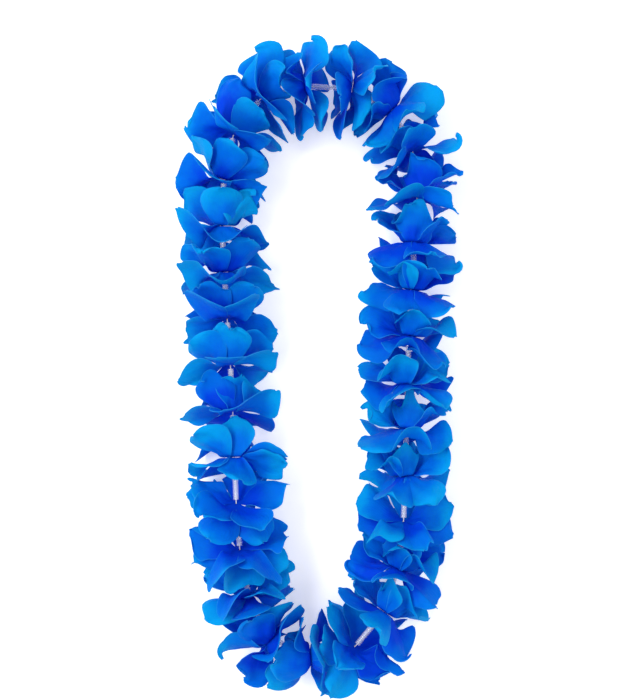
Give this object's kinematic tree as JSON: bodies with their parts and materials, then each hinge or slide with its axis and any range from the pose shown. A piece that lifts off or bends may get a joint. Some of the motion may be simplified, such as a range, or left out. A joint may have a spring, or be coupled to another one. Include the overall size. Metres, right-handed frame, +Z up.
{
  "type": "artificial flower lei",
  "caption": "Long closed garland of blue fabric flowers and clear spacer tubes threaded on one string, lying in an oval loop.",
  "frame": {"origin": "middle of the bottom of the bounding box: the surface that the lei lies on", "axes": "+Z up from the surface; +Y along the long way of the loop, towards the end that hangs uppermost when worn or hung up; +X across it"},
  "size_m": [0.2364, 0.5508, 0.0712],
  "materials": {
    "petal_cloth": "dyed, heat-formed polyester cloth, satin, deeper blue at the centre and lighter towards the petal tips",
    "clear_plastic": "clear extruded tube, glossy",
    "string_cord": "white twisted thread, matte"
  },
  "bodies": {
    "root": {"flower_01": "petal_cloth", "flower_02": "petal_cloth", "flower_03": "petal_cloth", "flower_04": "petal_cloth", "flower_05": "petal_cloth", "flower_06": "petal_cloth", "flower_07": "petal_cloth", "flower_08": "petal_cloth", "flower_09": "petal_cloth", "flower_10": "petal_cloth", "flower_11": "petal_cloth", "flower_12": "petal_cloth", "flower_13": "petal_cloth", "flower_14": "petal_cloth", "flower_15": "petal_cloth", "flower_16": "petal_cloth", "flower_17": "petal_cloth", "flower_18": "petal_cloth", "flower_19": "petal_cloth", "flower_20": "petal_cloth", "flower_21": "petal_cloth", "flower_22": "petal_cloth", "flower_23": "petal_cloth", "flower_24": "petal_cloth", "flower_25": "petal_cloth", "flower_26": "petal_cloth", "flower_27": "petal_cloth", "flower_28": "petal_cloth", "flower_29": "petal_cloth", "spacer_tube_01": "clear_plastic", "spacer_tube_02": "clear_plastic", "spacer_tube_03": "clear_plastic", "spacer_tube_04": "clear_plastic", "spacer_tube_05": "clear_plastic", "spacer_tube_06": "clear_plastic", "spacer_tube_07": "clear_plastic", "spacer_tube_08": "clear_plastic", "spacer_tube_09": "clear_plastic", "spacer_tube_10": "clear_plastic", "spacer_tube_11": "clear_plastic", "spacer_tube_12": "clear_plastic", "spacer_tube_13": "clear_plastic", "spacer_tube_14": "clear_plastic", "spacer_tube_15": "clear_plastic", "spacer_tube_16": "clear_plastic", "spacer_tube_17": "clear_plastic", "spacer_tube_18": "clear_plastic", "spacer_tube_19": "clear_plastic", "spacer_tube_20": "clear_plastic", "spacer_tube_21": "clear_plastic", "spacer_tube_22": "clear_plastic", "spacer_tube_23": "clear_plastic", "spacer_tube_24": "clear_plastic", "spacer_tube_25": "clear_plastic", "spacer_tube_26": "clear_plastic", "spacer_tube_27": "clear_plastic", "spacer_tube_28": "clear_plastic", "spacer_tube_29": "clear_plastic", "string_loop": "string_cord"}
  },
  "joints": []
}
